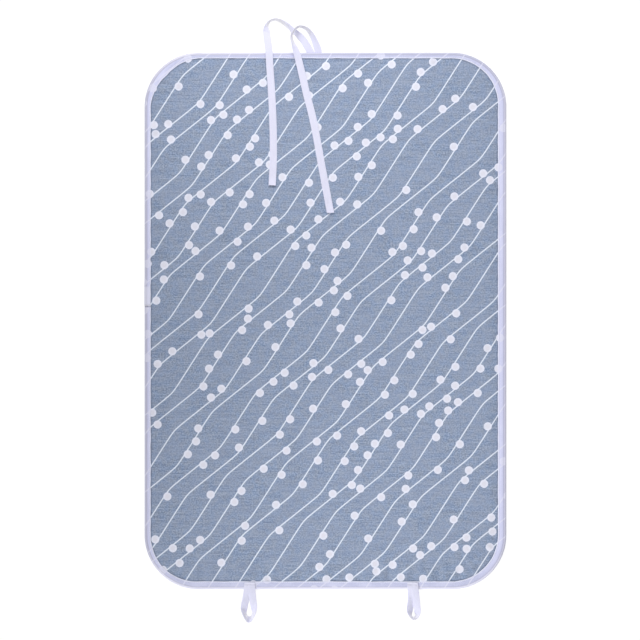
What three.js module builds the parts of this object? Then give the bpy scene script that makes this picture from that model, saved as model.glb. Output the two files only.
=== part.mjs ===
// Ironing pad: a padded mat laid face up on a table, with two ties that hold it rolled and two hanging loops.
// Millimetres. The underside rests on z = 0 with its middle at the origin, and the ties are on the +Y edge.

import * as THREE from "three";

// Outline of the bound pad
const PAD_WIDTH = 600;
const PAD_LENGTH = 890;
const CORNER_RADIUS = 90;
const CORNER_STEPS = 10;
const LEAST_CORNER_RADIUS = 2;

// Layers in the open middle of the pad, from the table up
const BACK_THICKNESS = 0.5;
const BARRIER_THICKNESS = 0.3;
const FELT_THICKNESS = 6;
const COVER_THICKNESS = 0.5;
const LAYER_GAP = 0.1;

// Bound edge: the felt is pressed flat there, and the pad swells to its full thickness over the crown
const BINDING_WIDTH = 11;
const BINDING_THICKNESS = 0.7;
const EDGE_FELT_THICKNESS = 2.4;
const EDGE_CLEARANCE = 0.2;
const CROWN_RUN = 28;
const CROWN_STEPS = 4;
const NOSE_STEPS = 6;

// Lapped join of the binding strip, on the left edge
const LAP_END_Y = 25;
const LAP_LENGTH = 34;
const LAP_RAMP = 14;

// Lockstitch seam round the binding: one thread on each face
const SEAM_INSET = 2;
const SEAM_END_SETBACK = 2;
const THREAD_DIAMETER = 0.5;
const THREAD_SIDES = 6;

// Tape of the ties and the loops
const TAPE_WIDTH = 12;
const TAPE_THICKNESS = 0.6;
const TAPE_GAP = 0.2;
const TAPE_SEAM_GAP = 0.75;
const TAPE_STEPS_PER_POINT = 3;

// Ties: two tapes sewn side by side under the +Y edge
const TIE_X = -18.4;
const TIE_SIDE_GAP = 0.4;
const HINGE_GAP = 0.3;

// Loops: folded tapes tacked on the front of the binding at the -Y edge
const LOOP_LEFT_X = -125.6;
const LOOP_RIGHT_X = 144.5;

// Bar tacks, the close stitches that hold the tapes
const TACK_THICKNESS = 0.3;
const TACK_DEPTH = 3;
const LOOP_TACK_WIDTH = 18;
const TACK_SEAM_GAP = 0.35;
const TIE_TACK_INSET = 3;
const TACK_END_STEPS = 4;

// Finishes
const CHAMBRAY = { color: 0x8f9db6, roughness: 0.85, metalness: 0 };
const TAPE = { color: 0xe7e7f4, roughness: 0.8, metalness: 0 };
const BINDING = { color: 0xcfd0e4, roughness: 0.7, metalness: 0 };
const THREAD = { color: 0xf2f2f6, roughness: 0.6, metalness: 0 };
const FELT = { color: 0xe4e2dc, roughness: 0.95, metalness: 0 };
const SILVER_COATING = { color: 0xb9bcc0, roughness: 0.35, metalness: 0.8 };
const BACKING = { color: 0xb4b7bf, roughness: 0.9, metalness: 0 };

// Heights that the layers make, inside the binding and in the open middle
const LAYER_NAMES = ["back", "barrier", "felt", "cover"];
const lapLift = BINDING_THICKNESS + LAYER_GAP;
const threadDepth = lapLift + LAYER_GAP + THREAD_DIAMETER;
const onTable = TAPE_GAP;
const onTack = TACK_THICKNESS + 2 * TAPE_GAP;
const edgeLift = EDGE_CLEARANCE + Math.max(threadDepth, onTack + TAPE_THICKNESS);
const coreBottom = edgeLift + BINDING_THICKNESS;
const edgeStack = stack(coreBottom + LAYER_GAP, EDGE_FELT_THICKNESS);
const middleStack = stack(0, FELT_THICKNESS);
const coreTop = edgeStack.cover.top + LAYER_GAP;
const noseRadius = (coreTop - coreBottom) / 2;
const noseHeight = (coreTop + coreBottom) / 2;
const noseInset = BINDING_THICKNESS + noseRadius;
const bindingTop = coreTop + BINDING_THICKNESS;
const faceTop = middleStack.cover.top;
const topEdge = PAD_LENGTH / 2;
const bottomEdge = -PAD_LENGTH / 2;

// Insets from the outer edge of the seam, the tapes that end short of it and the loops' tacks behind it
const seamInset = BINDING_WIDTH - SEAM_INSET;
const tapeRootInset = seamInset - THREAD_DIAMETER / 2 - TAPE_SEAM_GAP;
const loopTackInset = seamInset + THREAD_DIAMETER / 2 + TACK_SEAM_GAP + TACK_DEPTH / 2;

/** Bottom and top height of each layer, laid on one another from a height, with felt of a given thickness. */
function stack(from, feltThickness) {
  const thicknesses = [BACK_THICKNESS, BARRIER_THICKNESS, feltThickness, COVER_THICKNESS];
  const layers = {};
  let bottom = from;
  LAYER_NAMES.forEach((name, index) => {
    const top = bottom + thicknesses[index];
    layers[name] = { bottom, top };
    bottom = top + LAYER_GAP;
  });
  return layers;
}

/** A closed solid skinned over sections of equal point count, whose two ends are filled as the flat contour. */
function loft(sections, contour) {
  const count = sections[0].length;
  const positions = sections.flat().flatMap((point) => point.toArray());
  const indices = [];
  for (let row = 0; row + 1 < sections.length; row += 1) {
    for (let column = 0; column < count; column += 1) {
      const next = (column + 1) % count;
      const a = row * count + column;
      const b = row * count + next;
      indices.push(a, b, b + count, a, b + count, a + count);
    }
  }
  const lastRow = (sections.length - 1) * count;
  for (const [a, b, c] of THREE.ShapeUtils.triangulateShape(contour, [])) {
    indices.push(c, b, a, lastRow + a, lastRow + b, lastRow + c);
  }
  return outwardGeometry(positions, indices);
}

/** Geometry whose triangles are turned so that they face outwards. */
function outwardGeometry(positions, indices) {
  const corner = (index) => new THREE.Vector3().fromArray(positions, 3 * index);
  let volume = 0;
  for (let i = 0; i < indices.length; i += 3) {
    const [a, b, c] = indices.slice(i, i + 3).map(corner);
    volume += a.dot(b.cross(c));
  }
  const geometry = new THREE.BufferGeometry();
  geometry.setAttribute("position", new THREE.Float32BufferAttribute(positions, 3));
  geometry.setIndex(volume > 0 ? indices : indices.reverse());
  geometry.computeVertexNormals();
  return geometry;
}

/** Stations round the four corners, anticlockwise from the lower left one, with the way that the edge faces. */
function cornerStations() {
  const corners = [
    [-1, -1, Math.PI],
    [1, -1, 1.5 * Math.PI],
    [1, 1, 0],
    [-1, 1, 0.5 * Math.PI],
  ];
  return corners.flatMap(([sideX, sideY, firstAngle]) =>
    Array.from({ length: CORNER_STEPS + 1 }, (_, step) => ({
      sideX,
      sideY,
      angle: firstAngle + (step / CORNER_STEPS) * (Math.PI / 2),
      lift: 0,
    })),
  );
}

/** A station on the straight left edge. */
function leftStation(y, lift) {
  return { leftY: y, angle: Math.PI, lift };
}

/** The point of a station that lies a given inset in from the outer edge. */
function pointAt(station, inset, z) {
  if (station.leftY !== undefined) {
    return new THREE.Vector3(-PAD_WIDTH / 2 + inset, station.leftY, z);
  }
  const radius = Math.max(CORNER_RADIUS - inset, LEAST_CORNER_RADIUS);
  const x = station.sideX * (PAD_WIDTH / 2 - inset - radius) + radius * Math.cos(station.angle);
  const y = station.sideY * (PAD_LENGTH / 2 - inset - radius) + radius * Math.sin(station.angle);
  return new THREE.Vector3(x, y, z);
}

/** One turn round the pad that starts on the left edge, runs down and round, and ends on the raised lap. */
function stripStations(startY, endY) {
  const lapTopY = LAP_END_Y + LAP_LENGTH;
  return [
    leftStation(startY, 0),
    ...cornerStations(),
    leftStation(lapTopY + LAP_RAMP, 0),
    leftStation(lapTopY + LAYER_GAP, lapLift),
    leftStation(endY, lapLift),
  ];
}

/** How far the pad has swelled at an inset: 0 under the binding, 1 in the open middle. */
function swell(inset) {
  const share = THREE.MathUtils.clamp((inset - BINDING_WIDTH) / CROWN_RUN, 0, 1);
  return Math.sin((share * Math.PI) / 2);
}

/** One flat layer of the pad, pressed thin at its edge and full in the middle. */
function layerGeometry(name) {
  const stations = cornerStations();
  const insets = [noseInset];
  for (let step = 0; step <= CROWN_STEPS; step += 1) {
    insets.push(BINDING_WIDTH + (step / CROWN_STEPS) * CROWN_RUN);
  }
  const ring = (inset, side) => {
    const z = THREE.MathUtils.lerp(edgeStack[name][side], middleStack[name][side], swell(inset));
    return stations.map((station) => pointAt(station, inset, z));
  };
  const bottoms = insets.map((inset) => ring(inset, "bottom")).reverse();
  const tops = insets.map((inset) => ring(inset, "top"));
  const contour = bottoms[0].map((point) => new THREE.Vector2(point.x, point.y));
  return loft([...bottoms, ...tops], contour);
}

/** The binding's U-shaped fold as inset and height, at a distance outside the pressed layers. */
function foldProfile(distance) {
  const profile = [new THREE.Vector2(BINDING_WIDTH, coreTop + distance)];
  for (let step = 0; step <= NOSE_STEPS; step += 1) {
    const angle = (step / NOSE_STEPS) * Math.PI;
    const radius = noseRadius + distance;
    const inset = noseInset - radius * Math.sin(angle);
    profile.push(new THREE.Vector2(inset, noseHeight + radius * Math.cos(angle)));
  }
  profile.push(new THREE.Vector2(BINDING_WIDTH, coreBottom - distance));
  return profile;
}

/** The binding: one strip folded over the edge, whose end laps over its start. */
function bindingGeometry() {
  const section = (lift) => [...foldProfile(lift + BINDING_THICKNESS), ...foldProfile(lift).reverse()];
  const stations = stripStations(LAP_END_Y + LAP_LENGTH, LAP_END_Y);
  const sections = stations.map((station) =>
    section(station.lift).map((point) => pointAt(station, point.x, point.y)),
  );
  return loft(sections, section(0));
}

/** One thread of the seam, laid on a face of the binding: side 1 is the front, -1 the back. */
function threadGeometry(side) {
  const radius = THREAD_DIAMETER / 2;
  const surface = side > 0 ? bindingTop : edgeLift;
  const contour = Array.from({ length: THREAD_SIDES }, (_, step) => {
    const angle = (step / THREAD_SIDES) * 2 * Math.PI;
    return new THREE.Vector2(radius * Math.cos(angle), radius * Math.sin(angle));
  });
  const stations = stripStations(LAP_END_Y - SEAM_END_SETBACK, LAP_END_Y + SEAM_END_SETBACK);
  const sections = stations.map((station) => {
    const z = surface + side * (station.lift + LAYER_GAP + radius);
    return contour.map((point) => pointAt(station, seamInset + point.x, z + point.y));
  });
  return loft(sections, contour);
}

/**
 * A stretch of flat tape along a route. Each route point is [x, y, tilt in degrees, height of the lower edge],
 * and the tilt raises the edge on the right of the way that the tape runs. A free end is square to the tape,
 * and an end at a fold is cut at a given x, so that the two sides of the fold can turn about a line along X.
 */
function tapeGeometry(route, firstPoint, lastPoint, { startX, endX } = {}) {
  const centres = route.map(([x, y, tilt, low]) => {
    const lean = THREE.MathUtils.degToRad(tilt);
    const rise = (TAPE_WIDTH / 2) * Math.sin(lean) + (TAPE_THICKNESS / 2) * Math.cos(lean);
    return new THREE.Vector3(x, y, low + rise);
  });
  const centreLine = new THREE.CatmullRomCurve3(centres);
  const spans = route.length - 1;
  const steps = (lastPoint - firstPoint) * TAPE_STEPS_PER_POINT;
  const contour = [
    new THREE.Vector2(TAPE_WIDTH / 2, TAPE_THICKNESS / 2),
    new THREE.Vector2(-TAPE_WIDTH / 2, TAPE_THICKNESS / 2),
    new THREE.Vector2(-TAPE_WIDTH / 2, -TAPE_THICKNESS / 2),
    new THREE.Vector2(TAPE_WIDTH / 2, -TAPE_THICKNESS / 2),
  ];
  const sections = [];
  for (let step = 0; step <= steps; step += 1) {
    const place = THREE.MathUtils.lerp(firstPoint, lastPoint, step / steps);
    const before = Math.min(Math.floor(place), spans - 1);
    const tilt = THREE.MathUtils.lerp(route[before][2], route[before + 1][2], place - before);
    const lean = THREE.MathUtils.degToRad(tilt);
    const heading = centreLine.getTangent(place / spans);
    const right = new THREE.Vector3(heading.y, -heading.x, 0).normalize().applyAxisAngle(heading, -lean);
    const up = new THREE.Vector3().crossVectors(right, heading);
    const centre = centreLine.getPoint(place / spans);
    const cornerAt = (point) => centre.clone().addScaledVector(right, point.x).addScaledVector(up, point.y);
    const cutAt = (corner, x) => corner.addScaledVector(heading, (x - corner.x) / heading.x);
    const endCuts = { 0: startX, [steps]: endX };
    const cutX = endCuts[step];
    const corners = contour.map(cornerAt);
    sections.push(cutX === undefined ? corners : corners.map((corner) => cutAt(corner, cutX)));
  }
  return loft(sections, contour);
}

/** A bar tack: a low bar of close stitches with rounded ends, lying along X. */
function tackGeometry(width) {
  const end = TACK_DEPTH / 2;
  const outline = new THREE.Shape();
  outline.absarc(width / 2 - end, 0, end, -Math.PI / 2, Math.PI / 2);
  outline.absarc(-width / 2 + end, 0, end, Math.PI / 2, 1.5 * Math.PI);
  const options = { depth: TACK_THICKNESS, bevelEnabled: false, curveSegments: TACK_END_STEPS };
  return new THREE.ExtrudeGeometry(outline, options);
}

const part = new THREE.Group();

/** Adds a named piece with a material of its own. */
function addPiece(name, geometry, finish) {
  const mesh = new THREE.Mesh(geometry, new THREE.MeshStandardMaterial(finish));
  mesh.name = name;
  part.add(mesh);
  return mesh;
}

// Layers of the pad
addPiece("back_cover", layerGeometry("back"), BACKING);
addPiece("heat_barrier", layerGeometry("barrier"), SILVER_COATING);
addPiece("felt_pad", layerGeometry("felt"), FELT);
addPiece("printed_cover", layerGeometry("cover"), CHAMBRAY);

// Binding and its seam
addPiece("edge_binding", bindingGeometry(), BINDING);
addPiece("needle_thread", threadGeometry(1), THREAD);
addPiece("bobbin_thread", threadGeometry(-1), THREAD);

// Heights of a tape's lower edge on the pad, and a tie's distance from the line between the two ties
const onBinding = bindingTop + TAPE_GAP;
const onSeam = bindingTop + LAYER_GAP + THREAD_DIAMETER + TAPE_GAP;
const onFace = faceTop + TAPE_GAP;
const tieOffset = (TAPE_WIDTH + TIE_SIDE_GAP) / 2;

/** A tie's route, with its points given from the middle of the two roots and from the pad's edge. */
function tieRoute(points) {
  return points.map(([x, y, tilt, low]) => [TIE_X + x, topEdge + y, tilt, low]);
}

// The left tie arches out from under the edge, stands on edge at the crest and flops back over the face
const leftTie = tieRoute([
  [-tieOffset, -tapeRootInset, 0, onTack],
  [-tieOffset, 0, 0, onTack],
  [-11.4, 10, 14, onTack],
  [-17.7, 19.8, 32, onTable],
  [-28, 30.7, 42, onTable],
  [-35, 36.2, 45, onTable],
  [-44.4, 44.8, 55, onTable],
  [-55.4, 51.9, 68, onTable],
  [-64.6, 54.6, 78, onTable + 0.2],
  [-73.3, 51.9, 80, onTable + 0.8],
  [-78.4, 44, 72, onTable + 2.5],
  [-79.2, 33.9, 56, onTable + 4.2],
  [-77.2, 18.3, 38, onSeam - 1],
  [-75.2, 2.5, 28, onSeam + 0.2],
  [-73.9, -20.9, 20, onFace],
  [-71.1, -63, 8, onFace],
  [-68.8, -112.7, 3, onFace],
  [-68, -170.7, 0, onFace],
  [-69.9, -220.4, 0, onFace + 0.6],
]);

// The right tie arches higher, crosses over the left one and flops back over the face at a slant
const overLeftTie = onTable + TAPE_WIDTH * Math.sin(Math.PI / 4) + TAPE_THICKNESS + TAPE_GAP;
const rightTie = tieRoute([
  [tieOffset, -tapeRootInset, 0, onTack],
  [tieOffset, 0, 0, onTack],
  [5.6, 6, 8, onTack],
  [0.7, 18.3, 34, onTable + 0.2],
  [-4.8, 29.2, 50, onTable + 1.6],
  [-11.9, 37.8, 64, onTable + 5],
  [-20.9, 41.6, 76, onTable + 8.2],
  [-27.2, 41, 80, overLeftTie - 0.2],
  [-33.3, 35.3, 80, overLeftTie],
  [-37, 29.2, 78, overLeftTie - 0.6],
  [-37.3, 22.9, 70, onSeam + 1],
  [-34.6, 13.5, 58, onSeam + 0.4],
  [-30.5, 3.4, 42, onSeam + 0.2],
  [-24, -20.8, 22, onFace],
  [-13.1, -67.9, 8, onFace],
  [-1.8, -112.7, 3, onFace],
  [13.6, -195.6, 0, onFace],
  [26.7, -265.7, 0, onFace + 0.6],
]);

/** The number of the route's point that lies furthest out past the pad's edge. */
function crestOf(route) {
  const reaches = route.map(([, y]) => y);
  return reaches.indexOf(Math.max(...reaches));
}

/** Adds a tie's fixed root and its loose tail, which part at the crest. */
function addTie(name, route) {
  const crest = crestOf(route);
  const foldX = route[crest][0];
  const root = tapeGeometry(route, 0, crest, { endX: foldX + HINGE_GAP / 2 });
  const tail = tapeGeometry(route, crest, route.length - 1, { startX: foldX - HINGE_GAP / 2 });
  addPiece(`${name}_root`, root, TAPE);
  addPiece(`${name}_tail`, tail, TAPE);
}

addTie("tie_left", leftTie);
addTie("tie_right", rightTie);

const tieTack = addPiece("tie_tack", tackGeometry(2 * (TAPE_WIDTH + TIE_SIDE_GAP)), THREAD);
tieTack.position.set(TIE_X, topEdge - TIE_TACK_INSET - TACK_DEPTH / 2, TAPE_GAP);

/** A loop's route, with its points given from the middle of its root and from the pad's edge. */
function loopRoute(x, points) {
  return points.map(([offset, y, tilt, low]) => [x + offset, bottomEdge + y, tilt, low]);
}

// One leg leaves the binding below the other, and the tape turns back at the tip on the table
const lowerLeg = onBinding;
const upperLeg = onBinding + TAPE_THICKNESS + 2 * TAPE_GAP;
const leftLoop = loopRoute(LOOP_LEFT_X, [
  [-3.3, tapeRootInset, 0, lowerLeg],
  [-3.9, 0, 0, lowerLeg],
  [-4.9, -8, 3, lowerLeg - 1.6],
  [-7, -18.3, 8, onTable + 3.6],
  [-9.3, -29.9, 16, onTable + 1.6],
  [-9.1, -37.3, 48, onTable + 0.6],
  [-7, -44.2, 62, onTable + 0.2],
  [-4.4, -47.9, 54, onTable],
  [-1.2, -50.2, 36, onTable],
  [2, -47.9, 54, onTable],
  [4.6, -44.2, 62, onTable + 0.2],
  [6.7, -37.3, 50, onTable + 0.6],
  [6.8, -29.9, 24, onTable + 1.6],
  [5.3, -18.3, 8, onTable + 4.4],
  [4.2, -8, 3, upperLeg - 1.4],
  [3.6, 0, 0, upperLeg],
  [3.4, tapeRootInset, 0, upperLeg],
]);
const rightLoop = loopRoute(LOOP_RIGHT_X, [
  [-2.8, tapeRootInset, 0, lowerLeg],
  [-2.6, 0, 0, lowerLeg],
  [-2.3, -8, 4, lowerLeg - 1.6],
  [-2.3, -18.3, 18, onTable + 2.8],
  [-4.2, -29.9, 48, onTable + 1.2],
  [-4.4, -36.5, 62, onTable + 0.6],
  [-3.1, -43.1, 74, onTable + 0.2],
  [-1.1, -46.4, 75, onTable],
  [1.9, -47.9, 72, onTable],
  [5.2, -46.4, 68, onTable],
  [7.7, -42.3, 56, onTable + 0.4],
  [7.8, -34.8, 36, onTable + 1],
  [7.1, -28.2, 20, onTable + 2.8],
  [6, -18.3, 6, onTable + 5.2],
  [4.9, -8, 2, upperLeg - 1],
  [4, 0, 0, upperLeg],
  [3.5, tapeRootInset, 0, upperLeg],
]);

/** Adds a hanging loop and the bar tack behind its two ends. */
function addLoop(name, x, route) {
  addPiece(name, tapeGeometry(route, 0, route.length - 1), TAPE);
  const tack = addPiece(`${name}_tack`, tackGeometry(LOOP_TACK_WIDTH), THREAD);
  tack.position.set(x, bottomEdge + loopTackInset, bindingTop + LAYER_GAP);
}

addLoop("loop_left", LOOP_LEFT_X, leftLoop);
addLoop("loop_right", LOOP_RIGHT_X, rightLoop);

export default part;
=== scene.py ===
import math

import bmesh
import bpy
import numpy as np
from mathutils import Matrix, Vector
from mathutils.kdtree import KDTree


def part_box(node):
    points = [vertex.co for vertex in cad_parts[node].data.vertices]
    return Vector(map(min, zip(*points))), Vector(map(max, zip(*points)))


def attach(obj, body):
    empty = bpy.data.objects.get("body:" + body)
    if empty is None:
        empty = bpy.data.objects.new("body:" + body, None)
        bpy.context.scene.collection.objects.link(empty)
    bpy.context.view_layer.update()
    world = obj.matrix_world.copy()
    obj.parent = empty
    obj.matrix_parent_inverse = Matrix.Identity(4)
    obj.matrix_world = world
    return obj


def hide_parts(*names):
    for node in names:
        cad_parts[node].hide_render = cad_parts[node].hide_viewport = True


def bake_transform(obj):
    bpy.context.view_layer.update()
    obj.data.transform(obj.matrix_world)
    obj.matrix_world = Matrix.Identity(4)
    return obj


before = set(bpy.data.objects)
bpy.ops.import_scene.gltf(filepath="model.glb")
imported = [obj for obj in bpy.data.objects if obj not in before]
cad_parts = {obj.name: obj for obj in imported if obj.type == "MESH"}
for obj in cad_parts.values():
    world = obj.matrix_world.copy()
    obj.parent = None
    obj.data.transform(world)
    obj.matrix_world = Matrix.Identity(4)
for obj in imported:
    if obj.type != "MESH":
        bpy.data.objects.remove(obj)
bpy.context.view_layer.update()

# Sizes in metres, taken from the frame where it gives them
_, pad_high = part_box("edge_binding")
HALF_WIDTH = pad_high.x
HALF_LENGTH = pad_high.y
CORNER_RADIUS = 0.090
CORE_X = HALF_WIDTH - CORNER_RADIUS
CORE_Y = HALF_LENGTH - CORNER_RADIUS
BINDING_WIDTH = 0.011
BINDING_THICKNESS = 0.0007
EDGE_BOTTOM = 0.0016
EDGE_TOP = 0.0072
CROWN_RUN = 0.028
LAYER_EDGE_INSET = 0.0028
SEAM_INSET = 0.009
LAP_END_Y = 0.025
LAP_LENGTH = 0.034
LAP_RAMP = 0.014
LAP_LIFT = 0.0008
COVER_THICKNESS = 0.0005
BACK_THICKNESS = 0.0005
BARRIER_THICKNESS = 0.0003
LAYER_GAP = 0.0001
CREASE_INSET = 0.0042
SEAM_SHADE_REACH = 0.0035
EDGE_LENGTH = 4 * (CORE_X + CORE_Y) + 2 * math.pi * CORNER_RADIUS
LAP_STOP = EDGE_LENGTH - LAP_END_Y
LAP_START = LAP_STOP - LAP_LENGTH
TAPE_WIDTH = 0.012
TAPE_THICKNESS = 0.0006

# Heights of a tape's lower edge on what carries it
ON_TACK = 0.0007
ON_TABLE = 0.0002
ON_BINDING = 0.0074
ON_SEAM = 0.0080
ON_FACE = 0.0078
OVER_LEFT_TIE = 0.009485
UPPER_LEG = 0.0084

# Routes of the tapes: x and y, tilt in degrees, and the height of the lower edge
TIE_X = -0.0184
TIE_OFFSET = 0.0062
LEFT_TIE = [
    (-TIE_OFFSET, -0.008, 0, ON_TACK),
    (-TIE_OFFSET, 0, 0, ON_TACK),
    (-0.0114, 0.010, 14, ON_TACK),
    (-0.0177, 0.0198, 32, ON_TABLE),
    (-0.028, 0.0307, 42, ON_TABLE),
    (-0.035, 0.0362, 45, ON_TABLE),
    (-0.0444, 0.0448, 55, ON_TABLE),
    (-0.0554, 0.0519, 68, ON_TABLE),
    (-0.0646, 0.0546, 78, ON_TABLE + 0.0002),
    (-0.0733, 0.0519, 80, ON_TABLE + 0.0008),
    (-0.0784, 0.044, 72, ON_TABLE + 0.0025),
    (-0.0792, 0.0339, 56, ON_TABLE + 0.0042),
    (-0.0772, 0.0183, 38, ON_SEAM - 0.001),
    (-0.0752, 0.0025, 28, ON_SEAM + 0.0002),
    (-0.0739, -0.0209, 20, ON_FACE),
    (-0.0711, -0.063, 8, ON_FACE),
    (-0.0688, -0.1127, 3, ON_FACE),
    (-0.068, -0.1707, 0, ON_FACE),
    (-0.0699, -0.2204, 0, ON_FACE + 0.0006),
]
RIGHT_TIE = [
    (TIE_OFFSET, -0.008, 0, ON_TACK),
    (TIE_OFFSET, 0, 0, ON_TACK),
    (0.0056, 0.006, 8, ON_TACK),
    (0.0007, 0.0183, 34, ON_TABLE + 0.0002),
    (-0.0048, 0.0292, 50, ON_TABLE + 0.0016),
    (-0.0119, 0.0378, 64, ON_TABLE + 0.005),
    (-0.0209, 0.0416, 76, ON_TABLE + 0.0082),
    (-0.0272, 0.041, 80, OVER_LEFT_TIE - 0.0002),
    (-0.0333, 0.0353, 80, OVER_LEFT_TIE),
    (-0.037, 0.0292, 78, OVER_LEFT_TIE - 0.0006),
    (-0.0373, 0.0229, 70, ON_SEAM + 0.001),
    (-0.0346, 0.0135, 58, ON_SEAM + 0.0004),
    (-0.0305, 0.0034, 42, ON_SEAM + 0.0002),
    (-0.024, -0.0208, 22, ON_FACE),
    (-0.0131, -0.0679, 8, ON_FACE),
    (-0.0018, -0.1127, 3, ON_FACE),
    (0.0136, -0.1956, 0, ON_FACE),
    (0.0267, -0.2657, 0, ON_FACE + 0.0006),
]
LOOP_LEFT_X = -0.1256
LEFT_LOOP = [
    (-0.0033, 0.008, 0, ON_BINDING),
    (-0.0039, 0, 0, ON_BINDING),
    (-0.0049, -0.008, 3, ON_BINDING - 0.0016),
    (-0.007, -0.0183, 8, ON_TABLE + 0.0036),
    (-0.0093, -0.0299, 16, ON_TABLE + 0.0016),
    (-0.0091, -0.0373, 48, ON_TABLE + 0.0006),
    (-0.007, -0.0442, 62, ON_TABLE + 0.0002),
    (-0.0044, -0.0479, 54, ON_TABLE),
    (-0.0012, -0.0502, 36, ON_TABLE),
    (0.002, -0.0479, 54, ON_TABLE),
    (0.0046, -0.0442, 62, ON_TABLE + 0.0002),
    (0.0067, -0.0373, 50, ON_TABLE + 0.0006),
    (0.0068, -0.0299, 24, ON_TABLE + 0.0016),
    (0.0053, -0.0183, 8, ON_TABLE + 0.0044),
    (0.0042, -0.008, 3, UPPER_LEG - 0.0014),
    (0.0036, 0, 0, UPPER_LEG),
    (0.0034, 0.008, 0, UPPER_LEG),
]
LOOP_RIGHT_X = 0.1445
RIGHT_LOOP = [
    (-0.0028, 0.008, 0, ON_BINDING),
    (-0.0026, 0, 0, ON_BINDING),
    (-0.0023, -0.008, 4, ON_BINDING - 0.0016),
    (-0.0023, -0.0183, 18, ON_TABLE + 0.0028),
    (-0.0042, -0.0299, 48, ON_TABLE + 0.0012),
    (-0.0044, -0.0365, 62, ON_TABLE + 0.0006),
    (-0.0031, -0.0431, 74, ON_TABLE + 0.0002),
    (-0.0011, -0.0464, 75, ON_TABLE),
    (0.0019, -0.0479, 72, ON_TABLE),
    (0.0052, -0.0464, 68, ON_TABLE),
    (0.0077, -0.0423, 56, ON_TABLE + 0.0004),
    (0.0078, -0.0348, 36, ON_TABLE + 0.001),
    (0.0071, -0.0282, 20, ON_TABLE + 0.0028),
    (0.006, -0.0183, 6, ON_TABLE + 0.0052),
    (0.0049, -0.008, 2, UPPER_LEG - 0.001),
    (0.004, 0, 0, UPPER_LEG),
    (0.0035, 0.008, 0, UPPER_LEG),
]


def srgb(red, green, blue):
    """A colour of screen values from 0 to 255, as the linear colour that shaders take."""
    shares = np.array([red, green, blue]) / 255
    linear = np.where(shares <= 0.04045, shares / 12.92, ((shares + 0.055) / 1.055) ** 2.4)
    return (*linear, 1.0)


# Node trees


class Graph:
    """A node tree with short calls that add nodes and link them."""

    def __init__(self, tree):
        self.tree = tree

    def add(self, kind, inputs=(), **settings):
        """A new node with its settings, and with its inputs linked to sockets or set to values."""
        node = self.tree.nodes.new(kind)
        for name, value in settings.items():
            setattr(node, name, value)
        for name, value in dict(inputs).items():
            self.feed(node.inputs[name], value)
        return node

    def feed(self, socket, value):
        """Links a socket's source to it, or sets its own value."""
        if isinstance(value, bpy.types.NodeSocket):
            self.tree.links.new(value, socket)
        else:
            socket.default_value = value

    def math(self, operation, first, second=0.0):
        """The result of a math node on two values or sockets."""
        return self.add("ShaderNodeMath", {0: first, 1: second}, operation=operation).outputs[0]

    def plus(self, first, second):
        """A sum."""
        return self.math("ADD", first, second)

    def minus(self, first, second):
        """A difference."""
        return self.math("SUBTRACT", first, second)

    def times(self, first, second):
        """A product."""
        return self.math("MULTIPLY", first, second)

    def ramp(self, value, low, high, to_low=0.0, to_high=1.0):
        """A smooth step from to_low at low to to_high at high."""
        inputs = {"Value": value, "From Min": low, "From Max": high, "To Min": to_low, "To Max": to_high}
        return self.add("ShaderNodeMapRange", inputs, interpolation_type="SMOOTHSTEP").outputs[0]

    def mix(self, share, first, second):
        """Two colours mixed by a share."""
        inputs = {0: share, 6: first, 7: second}
        return self.add("ShaderNodeMix", inputs, data_type="RGBA").outputs[2]

    def random(self, *parts):
        """Three random shares, from 0 to 1, that belong to a set of whole numbers."""
        seat = self.add("ShaderNodeCombineXYZ", dict(enumerate(parts)))
        noise = self.add("ShaderNodeTexWhiteNoise", {"Vector": seat.outputs[0]}, noise_dimensions="3D")
        return self.parts(noise.outputs["Color"])

    def noise(self, place, scale, detail=2.0):
        """Noise at a place whose axes are stretched by their own scales."""
        mapped = self.add("ShaderNodeMapping", {"Vector": place, "Scale": scale}).outputs[0]
        inputs = {"Vector": mapped, "Scale": 1.0, "Detail": detail}
        return self.add("ShaderNodeTexNoise", inputs).outputs["Fac"]

    def place(self):
        """A point's place on the object, in metres."""
        return self.add("ShaderNodeTexCoord").outputs["Object"]

    def strip(self):
        """A point's place on a strip of tape laid flat: across and along it, in metres."""
        return self.add("ShaderNodeUVMap", uv_map="tape").outputs[0]

    def parts(self, vector):
        """The three parts of a vector."""
        return self.add("ShaderNodeSeparateXYZ", {0: vector}).outputs

    def seen(self):
        """1 for rays that show a surface to the camera, also by gloss or glass, and 0 for the rest."""
        rays = self.add("ShaderNodeLightPath").outputs
        shown = self.math("MAXIMUM", rays["Is Camera Ray"], rays["Is Glossy Ray"])
        return self.math("MAXIMUM", shown, rays["Is Transmission Ray"])


# Print of the face: lines that bend to and fro along a slant, with dots to one side or the other of them
PRINT_SLANT = math.radians(48)
LINE_SPACING = 0.0292
LINE_WIDTH = 0.0021
LINE_WANDER = 0.005
BEND_PERIOD = 0.215
BEND_ANGLE = math.radians(9.5)
BEND_SHARPNESS = 0.97
BEND_REACH = math.tan(BEND_ANGLE) * BEND_PERIOD / (4 * BEND_SHARPNESS)
BEND_STEP = 0.22
BEND_JITTER = 0.28
DOT_RADIUS = 0.0068
DOT_CORE = (0.0050, 0.0028)
DOT_CELL = 0.026
DOT_MARGIN = DOT_RADIUS / DOT_CELL
DOT_SHARE = 0.395
DOT_OFFSET = 0.0043
INK_EDGE = 0.0003
LINE_SEED = (0.5, 3.5)
DOT_SEED = 7.5
PRINT_MASKS = ("Dots", "Cores", "Lines")


def bend(graph, along, phase):
    """How far a line has bent to one side at a distance along the slant."""
    turns = graph.plus(graph.math("DIVIDE", along, BEND_PERIOD), phase)
    wave = graph.math("SINE", graph.times(turns, 2 * math.pi))
    soft = graph.math("ARCSINE", graph.times(wave, BEND_SHARPNESS))
    return graph.times(soft, BEND_REACH * 2 / math.pi)


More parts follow.
